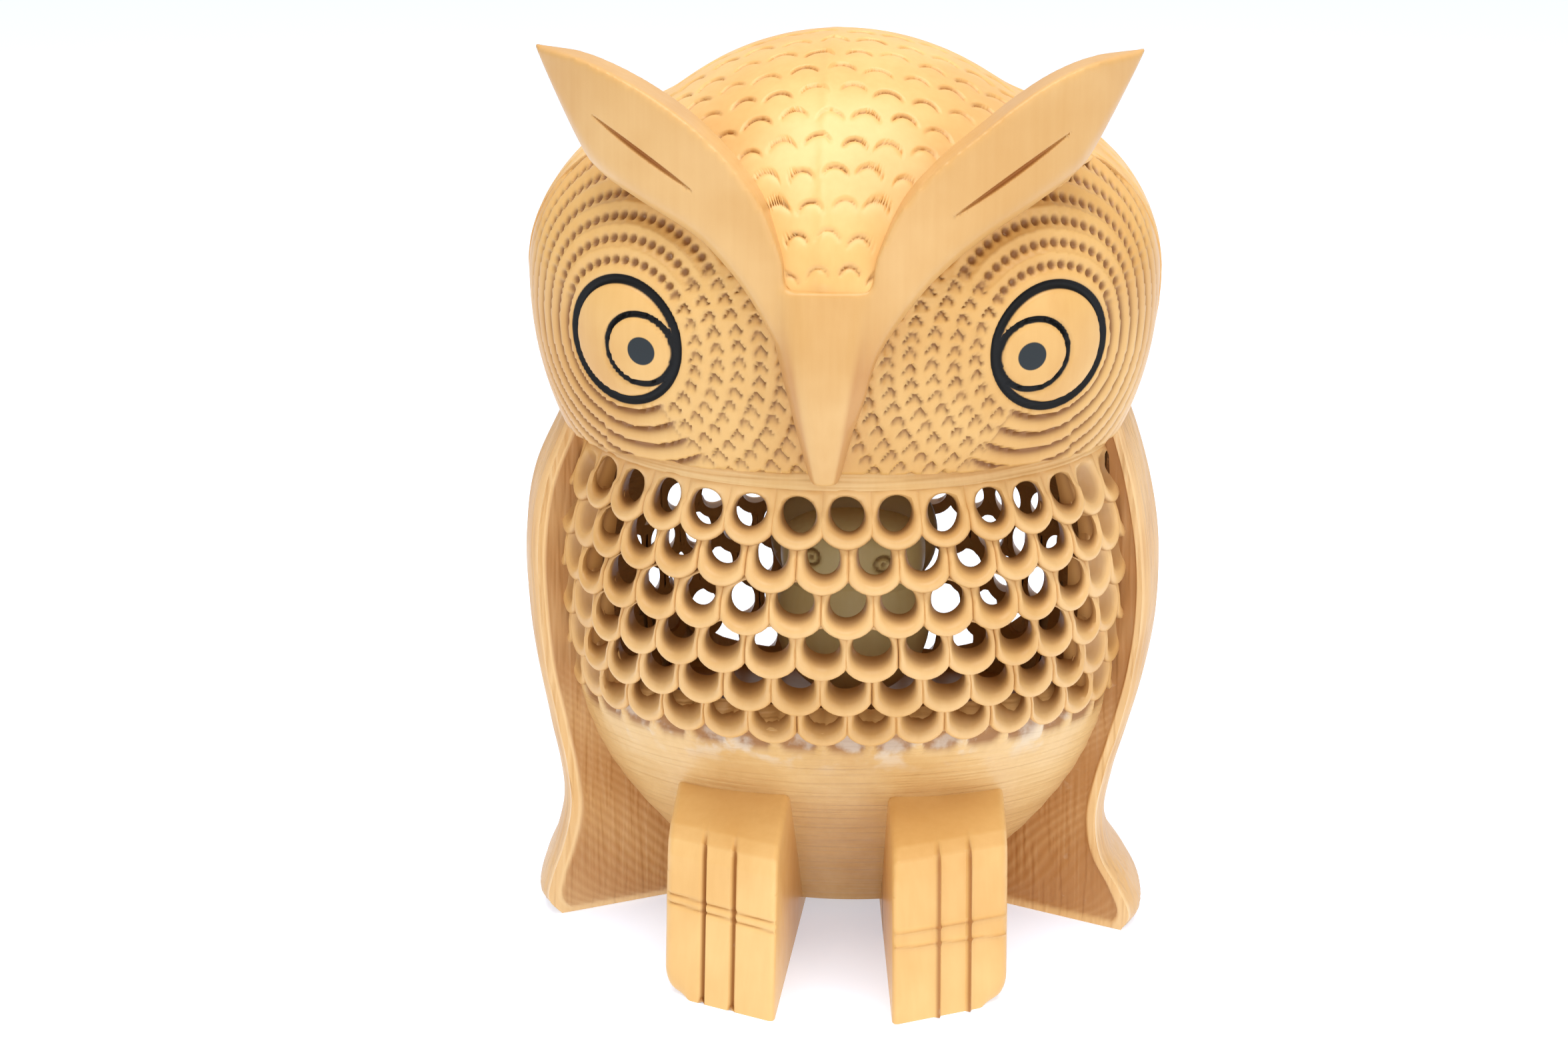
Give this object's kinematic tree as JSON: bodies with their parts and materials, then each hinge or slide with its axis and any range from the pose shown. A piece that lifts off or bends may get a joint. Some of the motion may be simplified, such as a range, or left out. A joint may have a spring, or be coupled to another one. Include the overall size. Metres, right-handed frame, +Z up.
{
  "type": "carved owl figurine",
  "caption": "Carved wooden owl standing on two grooved feet, with raised brow ears, ringed eyes and a pierced hollow belly that holds a small owlet.",
  "frame": {"origin": "middle of the owl's box in plan, on the surface it stands on", "axes": "+Z up, the owl faces -Y, +X to the right of someone who looks at its face"},
  "size_m": [0.1048, 0.098, 0.1508],
  "materials": {
    "wood": "satin"
  },
  "bodies": {
    "root": {"owl": "wood"}
  },
  "joints": []
}
